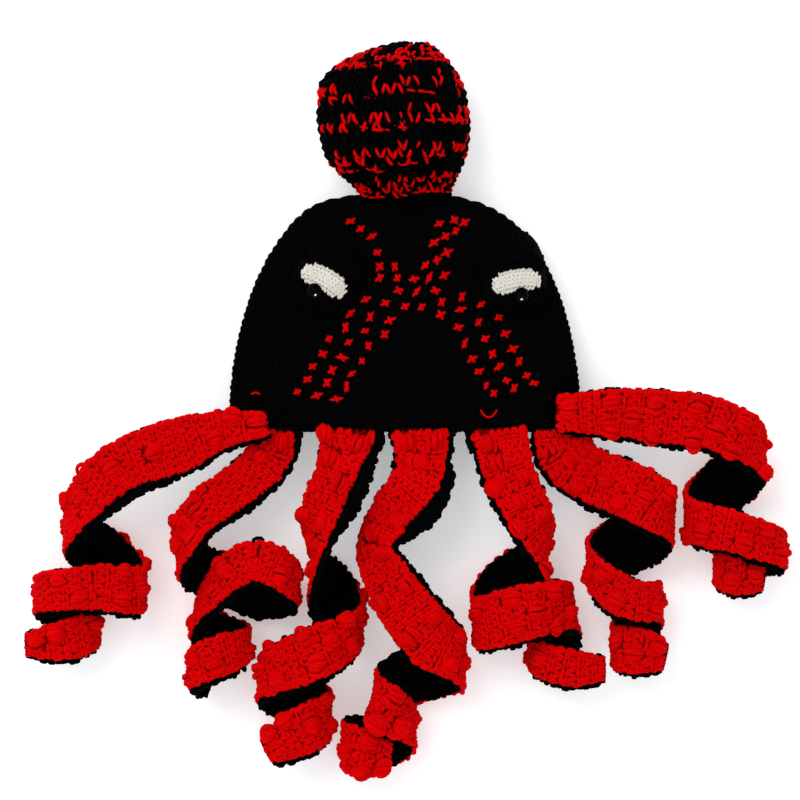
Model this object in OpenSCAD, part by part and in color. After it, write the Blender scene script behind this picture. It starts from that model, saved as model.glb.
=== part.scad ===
// Crocheted octopus hat, lying on its back with its face up.
// X runs to the right, Y from the brim towards the stuffed head, Z up from the surface it lies on.

/* [Hat] */
// Half of the hat's width, laid flat
hat_half_w = 140; // [130:1:150]
// Height of the hat from its brim to its crown
hat_h = 187; // [175:1:195]
// Thickness of the hat as it lies
hat_t = 44; // [40:1:50]
// Thickness of the crocheted wall
wall = 5; // [3:0.5:6]
// Depth of the brim band
band_h = 7; // [5:1:10]

/* [Stuffed head] */
// Thickness of the head's cover
cover_t = 4; // [2:0.5:5]
// Gap between the cover and the stuffing
stuffing_gap = 0.3; // [0.2:0.1:1]

/* [Eyes] */
// Height of each eye mound above the hat
mound_h = 17; // [10:1:20]
// Radius of each pupil
pupil_r = 6; // [4:0.5:8]
// Thickness of the eyelids and of the whites
lid_t = 6; // [3:0.5:8]

/* [Tentacles] */
// Thickness of the red outer strip
outer_t = 6; // [4:0.5:7]
// Thickness of the black lining
lining_t = 3; // [2:0.5:4]
// How far the lining shows past each edge of the outer strip
edging = 2.5; // [1:0.5:4]
// Height of the lowest pass of a curl's middle surface
curl_floor = 10; // [9.5:0.5:14]

/* [Stitches] */
// Length of a freckle stitch
stitch_l = 9; // [6:1:11]
// Thickness of a freckle stitch
stitch_t = 2; // [1:0.5:3]

/* [Hidden] */

// The frame's origin is at the middle of the whole object's outline.
frame_shift = [-1.2, 0.6, 0];
brim_y = -19;
crown_y = brim_y + hat_h;
contact = 0.1;
layer_gap = 0.9;
mound_gap = 0.9;

// Each row of a tentacle's route: x, y, angle of its red side from straight up, curl radius, width.
// Positive angles lean the red side towards +X. A full turn is one turn of the curl.
ROUTES = [
    [[-108, -12, 0, 21, 18], [-145, -17, 0, 21, 28], [-178, -29, 0, 22, 41], [-221, -44, -5, 25, 38],
     [-248, -68, -40, 26, 37], [-266, -96, -90, 26, 39], [-244, -112, -180, 26, 37],
     [-208, -142, -270, 25, 37], [-247, -141, -360, 23, 33], [-291, -147, -450, 21, 30],
     [-265, -159, -540, 20, 35], [-245, -173, -630, 18, 31], [-273, -184, -715, 17, 29],
     [-300, -186, -735, 15, 16]],
    [[-104, -20, 0, 14, 33], [-108, -38, 0, 14, 34], [-129, -59, -5, 16, 32], [-157, -79, -28, 21, 33],
     [-171, -98, -52, 25, 36], [-176, -118, -90, 26, 38], [-145, -135, -162, 26, 35],
     [-112, -146, -205, 26, 37], [-87, -139, -270, 26, 33], [-119, -119, -360, 26, 29],
     [-153, -147, -425, 24, 26], [-165, -171, -470, 22, 29], [-146, -181, -545, 20, 30],
     [-126, -187, -630, 19, 28], [-150, -196, -720, 19, 31], [-169, -210, -800, 17, 26],
     [-155, -221, -850, 12, 16]],
    [[-44, -20, 0, 16, 43], [-53, -55, -10, 18, 34], [-69, -92, -50, 22, 38], [-69, -129, -105, 25, 44],
     [-55, -153, -180, 26, 43], [-37, -172, -270, 25, 34], [-69, -191, -360, 24, 40],
     [-113, -213, -450, 22, 36], [-89, -229, -540, 20, 36], [-62, -241, -630, 19, 37],
     [-85, -256, -715, 18, 36], [-110, -271, -745, 15, 19]],
    [[12, -20, 0, 16, 44], [12, -52, -12, 17, 36], [-10, -82, -36, 20, 37], [-23, -112, -40, 22, 34],
     [-6, -147, -10, 24, 41], [20, -180, 20, 25, 44], [44, -201, 90, 25, 41], [12, -212, 180, 25, 41],
     [-20, -220, 270, 23, 30], [-15, -235, 360, 22, 36], [5, -253, 450, 20, 31],
     [-18, -268, 540, 20, 36], [-47, -266, 630, 19, 37], [-32, -271, 710, 18, 37],
     [-12, -276, 745, 16, 22]],
    [[74, -20, 0, 16, 42], [82, -52, 6, 18, 38], [99, -87, 32, 22, 38], [109, -118, 90, 25, 40],
     [82, -140, 180, 25, 41], [57, -169, 270, 25, 40], [94, -160, 360, 24, 42], [130, -157, 450, 22, 36],
     [119, -186, 540, 20, 35], [101, -194, 630, 18, 28], [130, -205, 715, 17, 27],
     [158, -205, 745, 15, 18]],
    [[124, -20, 0, 13, 43], [127, -36, 0, 14, 43], [142, -50, 0, 15, 41], [163, -59, 0, 18, 42],
     [189, -71, 12, 22, 43], [209, -89, 90, 25, 41], [173, -109, 180, 26, 44], [147, -123, 270, 25, 32],
     [173, -149, 360, 23, 30], [200, -155, 450, 22, 30], [186, -172, 540, 20, 32],
     [167, -188, 630, 19, 33], [186, -191, 715, 18, 35], [206, -196, 745, 16, 21]],
    [[119, -4, 0, 20, 25], [163, -3, 0, 21, 35], [206, -7, 0, 22, 40], [245, -13, 8, 25, 39],
     [282, -37, 90, 26, 38], [254, -60, 180, 26, 39], [225, -86, 270, 25, 35], [262, -98, 360, 24, 31],
     [299, -113, 450, 22, 28], [270, -119, 540, 20, 26], [248, -126, 630, 18, 28],
     [265, -131, 715, 17, 31], [284, -134, 745, 15, 19]]];
// Way each tentacle leaves its seam
ROOT_WAY = [[-35, -9, 0], [0, -1, 0], [0, -1, 0], [0, -1, 0], [0, -1, 0], [0, -1, 0], [1, 0, 0]];
route_steps = 5;

// Each row of the stuffed head's profile: y, middle in x, middle in z, half width, half thickness.
HEAD = [[168.8, 1, 21, 34, 14], [178, -1, 27, 39, 22], [186, -4, 33, 45, 30], [196, -7, 39, 54, 37],
    [208, -8, 43, 58, 42], [229, -9, 45, 60, 45], [256, -12, 43, 57, 43], [266, -12, 41, 51, 39],
    [275, -10, 39, 43, 33], [281, -7, 37, 33, 26], [286, -2, 36, 23, 18], [290, 3, 36, 10, 8]];

// Middle of each eye, its slant, and which way its outer corner points
EYE_LEFT = [[-62, 101], -29, -1];
EYE_RIGHT = [[87, 104], 9, 1];
mound_rx = 26;
mound_ry = 30;
white_half_l = 21;
white_half_w = 9;
lid_gap = 0.4;
pupil_lift = 2.2;

// Two bands of freckles that cross: first stitch, step to the next row, step to the next column, rows
BAND_RISING_RIGHT = [[-86, 12], [8.2, 10.7], [16, -2.5], [for (r = [0:13]) r]];
BAND_RISING_LEFT = [[74, 12], [-8.7, 9.7], [17, 4.3], [for (r = [0:7]) r]];
// Stitches of the second band that show past the crossing
LOOSE_FRECKLES = [[-43, 148], [-35, 141], [-26, 134], [-22, 122], [-20, 112]];

// ---- Shapes of the hat ----

function rise(y) = min(1, max(0, (y - brim_y) / hat_h));
function half_w(y) = hat_half_w * pow(max(0, 1 - pow(rise(y), 2)), 1 / 3.1);
function half_t(y) = hat_t / 2 * pow(max(0, 1 - pow(rise(y), 4)), 1 / 2.5);
function bulge(u) = pow(max(0, 1 - pow(min(1, abs(u)), 2.6)), 1 / 2.6);

// Height of the hat's upper surface over a point
function hat_top(x, y) = hat_t / 2 + half_t(y) * bulge(x / max(1, half_w(y)));

sides = 56;
floor_cut = 1.5;
// A ring around the hat at a given y. The underside is flat where it lies on the surface.
function hat_ring(y, inset, at_y) = [for (i = [0:sides - 1])
    let (a = 360 * i / sides, c = cos(a), s = sin(a), e = 2 / 2.6,
        w = half_w(y) - inset,
        h = half_t(y) - min(inset, half_t(y) / 2),
        z = hat_t / 2 + h * sign(s) * pow(abs(s), e) * (s < 0 ? 1 + floor_cut / 10 : 1))
    [w * sign(c) * pow(abs(c), e), at_y, max(z, inset)]];

// Closed skin through a list of rings with equal numbers of points. Quads are halved from one corner,
// apart from those of one side, which are halved from the other.
function ring_faces(rings, n, other_side) = concat(
    [for (r = [0:rings - 2], i = [0:n - 1]) let (a = r * n + i, b = r * n + (i + 1) % n)
        i == other_side ? [a, b, a + n] : [a, b, b + n]],
    [for (r = [0:rings - 2], i = [0:n - 1]) let (a = r * n + i, b = r * n + (i + 1) % n)
        i == other_side ? [b, b + n, a + n] : [a, b + n, a + n]],
    [[for (i = [n - 1:-1:0]) i]],
    [[for (i = [0:n - 1]) (rings - 1) * n + i]]);

module skin(rings, n, other_side = -1) {
    polyhedron(points = [for (r = rings) each r], faces = ring_faces(len(rings), n, other_side),
        convexity = 6);
}

module placed() {
    translate(frame_shift) children();
}

hat_levels = [0, 0.1, 0.2, 0.3, 0.4, 0.5, 0.6, 0.7, 0.78, 0.85, 0.9, 0.94, 0.97, 0.99];
body_y = brim_y + band_h;

module hat_solid(inset, start, stop) {
    skin([for (u = hat_levels) let (y = start + (stop - start) * u) hat_ring(y, inset, y)], sides);
}

module hat_shell() {
    color("#101010") placed() difference() {
        hat_solid(0, body_y, crown_y);
        translate([0, -contact, 0]) hat_solid(wall, body_y, crown_y - wall);
    }
}

module brim_band() {
    color("#0c0c0c") placed() difference() {
        skin([hat_ring(brim_y, 0, brim_y), hat_ring(body_y, 0, body_y)], sides);
        skin([hat_ring(brim_y, wall, brim_y - contact), hat_ring(body_y, wall, body_y + contact)], sides);
    }
}

// ---- Stuffed head ----

head_sides = 32;
function head_ring(row, inset, y) = [for (i = [0:head_sides - 1])
    let (a = 360 * i / head_sides, c = cos(a), s = sin(a), e = 2 / 2.2)
    [row[1] + (row[3] - inset) * sign(c) * pow(abs(c), e), y,
     row[2] + (row[4] - inset) * sign(s) * pow(abs(s), e)]];

module head_solid(inset) {
    last = len(HEAD) - 1;
    skin([for (i = [0:inset > 0 ? last - 1 : last]) let (row = HEAD[i])
        head_ring(row, inset,
            i == 0 ? row[0] + inset : i == last - 1 && inset > 0 ? row[0] - inset / 2 : row[0])],
        head_sides);
}

module head_cover() {
    color("#8c1013") placed() difference() {
        head_solid(0);
        head_solid(cover_t);
    }
}

module head_stuffing() {
    color("white") placed() head_solid(cover_t + stuffing_gap);
}

// ---- Eyes ----

function turned(eye, u, v) = [eye[0][0] + u * cos(eye[1]) - v * sin(eye[1]),
    eye[0][1] + u * sin(eye[1]) + v * cos(eye[1])];
function mound_top(eye, p) = let (d = p - eye[0], q = pow(d[0] / mound_rx, 2) + pow(d[1] / mound_ry, 2))
    hat_top(p[0], p[1]) + mound_gap + 1 + mound_h * pow(max(0, 1 - q), 0.6);

// A pad that lies on a surface: rings from its middle out, sides of a superellipse
pad_sides = 20;
pad_gap = 0.4;
pad_rings = [0.02, 0.35, 0.6, 0.8, 0.93, 1];
function pad_point(eye, mid, size, a, k) = turned(eye,
    mid[0] + size[0] * k * sign(cos(a)) * pow(abs(cos(a)), 0.8),
    mid[1] + size[1] * k * sign(sin(a)) * pow(abs(sin(a)), 0.8));

module pad(eye, mid, size, height) {
    under = [for (k = pad_rings) [for (i = [0:pad_sides - 1])
        let (p = pad_point(eye, mid, size, -360 * i / pad_sides, k))
        [p[0], p[1], mound_top(eye, p) + pad_gap]]];
    over = [for (j = [len(pad_rings) - 1:-1:0]) let (k = pad_rings[j]) [for (i = [0:pad_sides - 1])
        let (p = pad_point(eye, mid, size, -360 * i / pad_sides, k))
        [p[0], p[1], mound_top(eye, p) + pad_gap + 1 + (height - 1) * pow(1 - pow(k, 3), 0.7)]]];
    placed() skin(concat(under, over), pad_sides);
}

module eye_mound(eye) {
    under = [for (k = pad_rings) [for (i = [0:pad_sides - 1])
        let (a = -360 * i / pad_sides, p = eye[0] + k * [mound_rx * cos(a), mound_ry * sin(a)])
        [p[0], p[1], hat_top(p[0], p[1]) + mound_gap]]];
    over = [for (j = [len(pad_rings) - 1:-1:0]) let (k = pad_rings[j]) [for (i = [0:pad_sides - 1])
        let (a = -360 * i / pad_sides, p = eye[0] + k * [mound_rx * cos(a), mound_ry * sin(a)])
        [p[0], p[1], mound_top(eye, p)]]];
    color("#151515") placed() skin(concat(under, over), pad_sides);
}

module eye_white(eye) {
    color("#eae4da") pad(eye, [0, 0], [white_half_l, white_half_w], lid_t);
}

module eyelid_upper(eye) {
    color("#0b0b0b") pad(eye, [0, white_half_w + lid_gap + 8], [white_half_l, 8], lid_t + 2);
}

module eyelid_lower(eye) {
    color("#0b0b0b") pad(eye, [-eye[2] * 6, -white_half_w - lid_gap - 5], [12, 5], lid_t - 2);
}

module pupil(eye) {
    spot = turned(eye, eye[2] * 7, -white_half_w + 3);
    color("#050505") placed() translate([spot[0], spot[1], mound_top(eye, spot) + lid_t + pupil_lift])
        intersection() {
            sphere(r = pupil_r, $fn = 48);
            translate([0, 0, pupil_r]) cube(2 * pupil_r, center = true);
        }
}

// ---- Freckles ----

// A stitch: a small bar that lies on the hat
module stitch(p, a) {
    d = [cos(a), sin(a)] * stitch_l / 2;
    n = [-sin(a), cos(a)] * stitch_l / 6;
    ends = [p - d - n, p - d + n, p + d + n, p + d - n];
    low = [for (q = ends) [q[0], q[1], hat_top(q[0], q[1]) + contact]];
    high = [for (q = ends) [q[0], q[1], hat_top(q[0], q[1]) + contact + stitch_t]];
    skin([low, high], 4);
}

module freckles(band, a, loose = []) {
    color("#d01015") placed() {
        for (r = band[3], c = [0:2]) stitch(band[0] + r * band[1] + c * band[2], a);
        for (p = loose) stitch(p, a);
    }
}

// ---- Tentacles ----

function blend_rows(a, b, c, d, t) = 0.5 * (2 * b + (c - a) * t + (2 * a - 5 * b + 4 * c - d) * t * t
    + (3 * b - a - 3 * c + d) * t * t * t);
function fine_route(rows) = [for (i = [0:len(rows) - 2], k = [0:route_steps - 1])
        blend_rows(rows[max(0, i - 1)], rows[i], rows[i + 1], rows[min(len(rows) - 1, i + 2)],
            k / route_steps),
    rows[len(rows) - 1]];
function unit(v) = v / norm(v);
function middle(row) = [row[0], row[1], curl_floor + row[3] * (1 + cos(row[2]))];

// Rings of a strip whose section runs from low to high along the red side's direction
function strip_rings(rows, way, low, high, margin) = [for (i = [0:len(rows) - 1])
    let (row = rows[i], p = middle(row), up = [sin(row[2]), 0, cos(row[2])],
        along = unit(i == 0 ? way : middle(rows[min(len(rows) - 1, i + 1)]) - middle(rows[i - 1])),
        across = unit(cross(along, up)), out = cross(across, along),
        h = row[4] / 2 + margin)
    [p - across * h + out * low, p + across * h + out * low,
     p + across * h + out * high, p - across * h + out * high]];

// Both faces of both layers halve their quads along the same diagonal, so the layers stay parallel
module strip(number, low, high, margin) {
    rings = strip_rings(fine_route(ROUTES[number - 1]), ROOT_WAY[number - 1], low, high, margin);
    placed() skin(rings, 4, other_side = 0);
}

module tentacle(number) {
    color("#d81014") strip(number, layer_gap / 2, outer_t, 0);
}

module lining(number) {
    color("#0a0a0a") strip(number, -lining_t, -layer_gap / 2, edging);
}

hat_shell();
brim_band();
head_cover();
head_stuffing();
eye_mound(EYE_LEFT);  // eye_mound_left
eye_white(EYE_LEFT);  // eye_white_left
eyelid_upper(EYE_LEFT);  // eyelid_upper_left
eyelid_lower(EYE_LEFT);  // eyelid_lower_left
pupil(EYE_LEFT);  // pupil_left
eye_mound(EYE_RIGHT);  // eye_mound_right
eye_white(EYE_RIGHT);  // eye_white_right
eyelid_upper(EYE_RIGHT);  // eyelid_upper_right
eyelid_lower(EYE_RIGHT);  // eyelid_lower_right
pupil(EYE_RIGHT);  // pupil_right
freckles(BAND_RISING_RIGHT, 20);  // freckles_left
freckles(BAND_RISING_LEFT, -20, LOOSE_FRECKLES);  // freckles_right
tentacle(1);  // tentacle_1
tentacle(2);  // tentacle_2
tentacle(3);  // tentacle_3
tentacle(4);  // tentacle_4
tentacle(5);  // tentacle_5
tentacle(6);  // tentacle_6
tentacle(7);  // tentacle_7
lining(1);  // lining_1
lining(2);  // lining_2
lining(3);  // lining_3
lining(4);  // lining_4
lining(5);  // lining_5
lining(6);  // lining_6
lining(7);  // lining_7
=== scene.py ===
import math

import bmesh
import bpy
import numpy as np
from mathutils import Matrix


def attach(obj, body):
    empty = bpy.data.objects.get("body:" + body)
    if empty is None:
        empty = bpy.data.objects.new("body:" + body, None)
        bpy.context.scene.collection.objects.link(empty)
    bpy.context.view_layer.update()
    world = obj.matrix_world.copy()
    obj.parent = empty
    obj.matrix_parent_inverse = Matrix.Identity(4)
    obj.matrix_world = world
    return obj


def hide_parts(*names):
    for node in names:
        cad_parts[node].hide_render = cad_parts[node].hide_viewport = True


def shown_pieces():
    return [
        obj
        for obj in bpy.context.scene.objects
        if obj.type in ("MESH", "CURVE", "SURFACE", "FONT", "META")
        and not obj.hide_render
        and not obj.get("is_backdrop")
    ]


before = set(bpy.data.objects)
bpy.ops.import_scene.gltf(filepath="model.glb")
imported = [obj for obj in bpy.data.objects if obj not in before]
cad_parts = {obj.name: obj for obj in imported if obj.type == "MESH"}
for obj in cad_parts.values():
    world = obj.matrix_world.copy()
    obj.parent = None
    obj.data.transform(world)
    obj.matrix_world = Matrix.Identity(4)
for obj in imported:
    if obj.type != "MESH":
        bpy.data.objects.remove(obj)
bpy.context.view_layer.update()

MM = 0.001
FRAME_SHIFT = np.array([-1.2, 0.6, 0.0])
rng = np.random.default_rng(11)

# ---- Shapes ----

# They follow part.scad, but not everywhere. Tentacles 2 to 6 start 4 mm nearer the hat, the second row of
# tentacle 3 is moved and narrower, and the head's upper rows, the freckles and the eyes are set again by
# a few millimetres. The pupils and the lower eyelids are 10 to 13 mm from where part.scad has them.

HAT_HALF_W = 140
HAT_H = 187
HAT_T = 44
BRIM_Y = -19
CROWN_Y = BRIM_Y + HAT_H
CURL_FLOOR = 10
MOUND_RX, MOUND_RY, MOUND_H = 26, 30, 17

# Each row of a tentacle's route: x, y, angle of its red side from straight up, curl radius, width.
ROUTES = {
    1: [[-108, -12, 0, 21, 18], [-145, -17, 0, 21, 28], [-178, -29, 0, 22, 41], [-221, -44, -5, 25, 38],
        [-248, -68, -40, 26, 37], [-266, -96, -90, 26, 39], [-244, -112, -180, 26, 37],
        [-208, -142, -270, 25, 37], [-247, -141, -360, 23, 33], [-291, -147, -450, 21, 30],
        [-265, -159, -540, 20, 35], [-245, -173, -630, 18, 31], [-273, -184, -715, 17, 29],
        [-300, -186, -735, 15, 16]],
    2: [[-104, -16, 0, 14, 33], [-108, -38, 0, 14, 34], [-129, -59, -5, 16, 32], [-157, -79, -28, 21, 33],
        [-171, -98, -52, 25, 36], [-176, -118, -90, 26, 38], [-145, -135, -162, 26, 35],
        [-112, -146, -205, 26, 37], [-87, -139, -270, 26, 33], [-119, -119, -360, 26, 29],
        [-153, -147, -425, 24, 26], [-165, -171, -470, 22, 29], [-146, -181, -545, 20, 30],
        [-126, -187, -630, 19, 28], [-150, -196, -720, 19, 31], [-169, -210, -800, 17, 26],
        [-155, -221, -850, 12, 16]],
    3: [[-44, -16, 0, 16, 43], [-56, -55, -10, 18, 31], [-69, -92, -50, 22, 38], [-69, -129, -105, 25, 44],
        [-55, -153, -180, 26, 43], [-37, -172, -270, 25, 34], [-69, -191, -360, 24, 40],
        [-113, -213, -450, 22, 36], [-89, -229, -540, 20, 36], [-62, -241, -630, 19, 37],
        [-85, -256, -715, 18, 36], [-110, -271, -745, 15, 19]],
    4: [[12, -16, 0, 16, 44], [12, -52, -12, 17, 36], [-10, -82, -36, 20, 37], [-23, -112, -40, 22, 34],
        [-6, -147, -10, 24, 41], [20, -180, 20, 25, 44], [44, -201, 90, 25, 41], [12, -212, 180, 25, 41],
        [-20, -220, 270, 23, 30], [-15, -235, 360, 22, 36], [5, -253, 450, 20, 31],
        [-18, -268, 540, 20, 36], [-47, -266, 630, 19, 37], [-32, -271, 710, 18, 37],
        [-12, -276, 745, 16, 22]],
    5: [[74, -16, 0, 16, 42], [82, -52, 6, 18, 38], [99, -87, 32, 22, 38], [109, -118, 90, 25, 40],
        [82, -140, 180, 25, 41], [57, -169, 270, 25, 40], [94, -160, 360, 24, 42],
        [130, -157, 450, 22, 36], [119, -186, 540, 20, 35], [101, -194, 630, 18, 28],
        [130, -205, 715, 17, 27], [158, -205, 745, 15, 18]],
    6: [[124, -16, 0, 13, 43], [127, -36, 0, 14, 43], [142, -50, 0, 15, 41], [163, -59, 0, 18, 42],
        [189, -71, 12, 22, 43], [209, -89, 90, 25, 41], [173, -109, 180, 26, 44], [147, -123, 270, 25, 32],
        [173, -149, 360, 23, 30], [200, -155, 450, 22, 30], [186, -172, 540, 20, 32],
        [167, -188, 630, 19, 33], [186, -191, 715, 18, 35], [206, -196, 745, 16, 21]],
    7: [[119, -4, 0, 20, 25], [163, -3, 0, 21, 35], [206, -7, 0, 22, 40], [245, -13, 8, 25, 39],
        [282, -37, 90, 26, 38], [254, -60, 180, 26, 39], [225, -86, 270, 25, 35], [262, -98, 360, 24, 31],
        [299, -113, 450, 22, 28], [270, -119, 540, 20, 26], [248, -126, 630, 18, 28],
        [265, -131, 715, 17, 31], [284, -134, 745, 15, 19]],
}
ROOT_WAY = {1: [-35, -9, 0], 7: [1, 0, 0]}
DOWN = [0, -1, 0]
# The side of each strip whose black lining shows past the red: -1 or 1 along its across direction
DARK_SIDE = {1: -1, 2: -1, 3: -1, 4: -1, 5: 1, 6: 1, 7: 1}
# Places where the lining spreads wider: side, distance from the seam, half length, extra width
WIDE_LINING = {
    1: [(-1, 125, 45, 5)],
    2: [(-1, 60, 40, 2)],
    3: [(-1, 45, 45, 9)],
    4: [(-1, 60, 34, 11), (1, 36, 20, 5)],
    6: [(1, 80, 40, 2)],
}

# Sides on which the lining makes a small web at the seam, and how wide it is
WEB_SIDES = {2: (-1,), 3: (1, -1), 4: (1, -1), 5: (1,)}
WEB = 4.0
WEB_LENGTH = 18
# How far the lining reaches past the red strip on its dark side and on its bare side
DARK_REACH, BARE_REACH = 2.8, 0.2

# Each row of the stuffed head's profile: y, middle in x, middle in z, half width, half thickness.
HEAD = np.array([
    [168.8, 1, 21, 34, 14], [178, -1, 27, 39, 22], [186, -4, 33, 45, 30], [196, -7, 39, 54, 37],
    [208, -8, 43, 58, 42], [229, -9, 45, 60, 45], [256, -11, 43, 57, 43], [266, -10, 41, 50, 39],
    [275, -7, 39, 41, 33], [281, -3, 37, 31, 26], [286, 2, 36, 21, 18], [290, 6, 36, 9, 8]])
# Middle of each red stripe on the head, half of a stripe's depth, and how much a stripe climbs to the right
STRIPES = [275, 250, 226, 198, 175]
STRIPE_HALF = 7
STRIPE_CLIMB = 0.12

# Middle of each eye, its slant in degrees, which way its outer corner points, and its hood's reach
EYES = {"left": ((-63, 102), -29, -1, 34), "right": ((87, 101), 9, 1, 42)}


# ---- Yarn and mesh tools ----

def unit(v):
    return v / np.maximum(np.linalg.norm(v, axis=-1, keepdims=True), 1e-9)


def to_object(name, points, loops, sizes, materials, uv=None, tone=None, which=None):
    """A smooth mesh object from arrays: points in mm, loops of point numbers and the faces' sizes."""
    # Yarn that would sink into the floor is pressed flat on it instead
    low = points[:, 2:3]
    pressed = np.where(low < 2, 0.2 + 1.8 * np.exp((np.minimum(low, 2) - 2) / 1.8), low)
    points = np.concatenate([points[:, :2], pressed], axis=1)
    mesh = bpy.data.meshes.new(name)
    mesh.vertices.add(len(points))
    mesh.vertices.foreach_set("co", ((points + FRAME_SHIFT) * MM).astype(np.float32).ravel())
    mesh.loops.add(len(loops))
    mesh.loops.foreach_set("vertex_index", loops.astype(np.int32))
    mesh.polygons.add(len(sizes))
    starts = np.concatenate([[0], np.cumsum(sizes)[:-1]]).astype(np.int32)
    mesh.polygons.foreach_set("loop_start", starts)
    mesh.polygons.foreach_set("use_smooth", np.ones(len(sizes), bool))
    for material in materials:
        mesh.materials.append(material)
    if which is not None:
        mesh.polygons.foreach_set("material_index", which.astype(np.int32))
    if uv is not None:
        mesh.uv_layers.new(name="yarn").data.foreach_set("uv", uv.astype(np.float32).ravel())
    if tone is not None:
        mesh.attributes.new("tone", "FLOAT", "POINT").data.foreach_set("value", tone.astype(np.float32))
    mesh.update(calc_edges=True)
    mesh.validate()
    piece = bpy.data.objects.new(name, mesh)
    bpy.context.scene.collection.objects.link(piece)
    return piece


TUBE_SIDES = 6


class Knit:
    """Gathers closed yarn tubes and turns them into one piece."""

    def __init__(self):
        self.parts = []
        self.count = 0

    def tubes(self, lines, radii, ups, which=0):
        """Tubes along many centre lines: lines (n, rings, 3), radii (n, rings), ups (n, 3)."""
        n, rings = lines.shape[:2]
        sides = TUBE_SIDES
        if n == 0:
            return
        along = unit(np.gradient(lines, axis=1))
        side = unit(np.cross(along, ups[:, None, :]))
        lift = np.cross(side, along)
        angle = 2 * math.pi * np.arange(sides) / sides
        ring = (np.cos(angle)[:, None] * side[:, :, None] + np.sin(angle)[:, None] * lift[:, :, None])
        points = lines[:, :, None] + np.broadcast_to(radii, (n, rings))[:, :, None, None] * ring

        corner = [(r + dr, (k + dk) % sides, (k + dk) / sides)
                  for r in range(rings - 1) for k in range(sides)
                  for dr, dk in ((0, 0), (1, 0), (1, 1), (0, 1))]
        corner += [(0, k, 0.5) for k in range(sides)]
        corner += [(rings - 1, k, 0.5) for k in range(sides - 1, -1, -1)]
        corner = np.array(corner)
        row, spot = corner[:, 0].astype(int), corner[:, 1].astype(int)
        loops = row * sides + spot + (np.arange(n) * rings * sides)[:, None] + self.count
        step = np.linalg.norm(np.diff(lines, axis=1), axis=2)
        length = np.concatenate([np.zeros((n, 1)), np.cumsum(step, axis=1)], axis=1)
        uv = np.stack([length[:, row], np.broadcast_to(corner[:, 2], loops.shape)], axis=2)
        sizes = np.tile([4] * ((rings - 1) * sides) + [sides] * 2, n)
        faces = (rings - 1) * sides + 2
        self.parts.append((
            points.reshape(-1, 3), loops.ravel(), sizes, uv.reshape(-1, 2),
            np.repeat(rng.random(n), rings * sides), np.repeat(np.broadcast_to(which, n), faces)))
        self.count += n * rings * sides

    def piece(self, name, materials):
        points, loops, sizes, uv, tone, which = (np.concatenate(a) for a in zip(*self.parts))
        return to_object(name, points, loops, sizes, materials, uv, tone, which)


class Cloth:
    """A curved surface: a grid of points with normals, placed by distance s and share t of its width."""

    def __init__(self, points, normals, closed):
        self.points, self.normals, self.closed = points, normals, closed
        middle = points[:, points.shape[1] // 4] if closed else points.mean(axis=1)
        self.s = np.concatenate([[0], np.cumsum(np.linalg.norm(np.diff(middle, axis=0), axis=1))])
        self.length = self.s[-1]
        ring = np.concatenate([points, points[:, :1]], axis=1) if closed else points
        self.spans = np.linalg.norm(np.diff(ring, axis=1), axis=2).sum(axis=1)

    def span(self, s):
        return np.interp(s, self.s, self.spans)

    def place(self, s, t, h):
        rows, columns = self.points.shape[:2]
        i = np.interp(s, self.s, np.arange(rows))
        i0 = np.minimum(i.astype(int), rows - 2)
        fi = (i - i0)[..., None]
        if self.closed:
            j = np.mod(t, 1) * columns
            j0 = j.astype(int) % columns
            j1 = (j0 + 1) % columns
            fj = (j - np.floor(j))[..., None]
        else:
            j = t * (columns - 1)
            j0 = np.clip(j.astype(int), 0, columns - 2)
            j1 = j0 + 1
            fj = (j - j0)[..., None]

        def mix(grid):
            low = grid[i0, j0] * (1 - fj) + grid[i0, j1] * fj
            high = grid[i0 + 1, j0] * (1 - fj) + grid[i0 + 1, j1] * fj
            return low * (1 - fi) + high * fi
        return mix(self.points) + unit(mix(self.normals)) * np.asarray(h)[..., None]

    def normal(self, s, t):
        zero = np.zeros_like(s)
        return self.place(s, t, zero + 1) - self.place(s, t, zero)


def cells(cloth, cell_w, cell_h, start, stop):
    """Middles of the stitches: s, t, stitches per row, row number and place in the row."""
    out = []
    rows = max(1, int((cloth.length - start - stop) / cell_h))
    for i in range(rows):
        s = start + (i + 0.5) * (cloth.length - start - stop) / rows
        n = max(2, round(float(cloth.span(s)) / cell_w))
        for j in range(n):
            t = (j + 0.5 + (0.5 * (i % 2) if cloth.closed else 0)) / n
            out.append((s, t, n, i, j))
    return np.array(out)


def lay(knit, cloth, cell, cell_h, path, radius, base=0.0, which=0, jitter=0.06):
    """Lays one yarn path in every cell: path is (across, along) in cells and height in mm, (rings, 3)."""
    if len(cell) == 0:
        return
    s, t, n = cell[:, 0:1], cell[:, 1:2], cell[:, 2:3]
    move = rng.normal(0, jitter, (len(cell), 2))
    grow = 1 + rng.normal(0, jitter, (len(cell), 1))
    dx = path[:, 0] + move[:, 0:1]
    dy = path[:, 1] + move[:, 1:2]
    lines = cloth.place(s + dy * cell_h, t + dx / n, path[:, 2] * grow + base)
    thick = radius * np.interp(np.linspace(0, 1, len(path)), [0, 0.3, 0.7, 1], [0.72, 1, 1, 0.72])
    knit.tubes(lines, thick * grow, cloth.normal(cell[:, 0], cell[:, 1]), which)


STITCH_RINGS = 5


def leg(side, rise=1, lift=2.3):
    """One slanted leg of a stitch, from its foot in the middle to its outer top."""
    q = np.linspace(0, 1, STITCH_RINGS)
    return np.stack([side * (0.07 + 0.38 * q), rise * (1.24 * q - 0.62), lift * np.sin(math.pi * q) - 0.7], 1)


def bar(height, lift=2.0, lean=0.08):
    """A short bar across a stitch."""
    q = np.linspace(0, 1, STITCH_RINGS)
    return np.stack([1.1 * q - 0.55, height + lean * (2 * q - 1), lift * np.sin(math.pi * q) - 0.6], 1)


SLAB_STEP = 3.0


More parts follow.
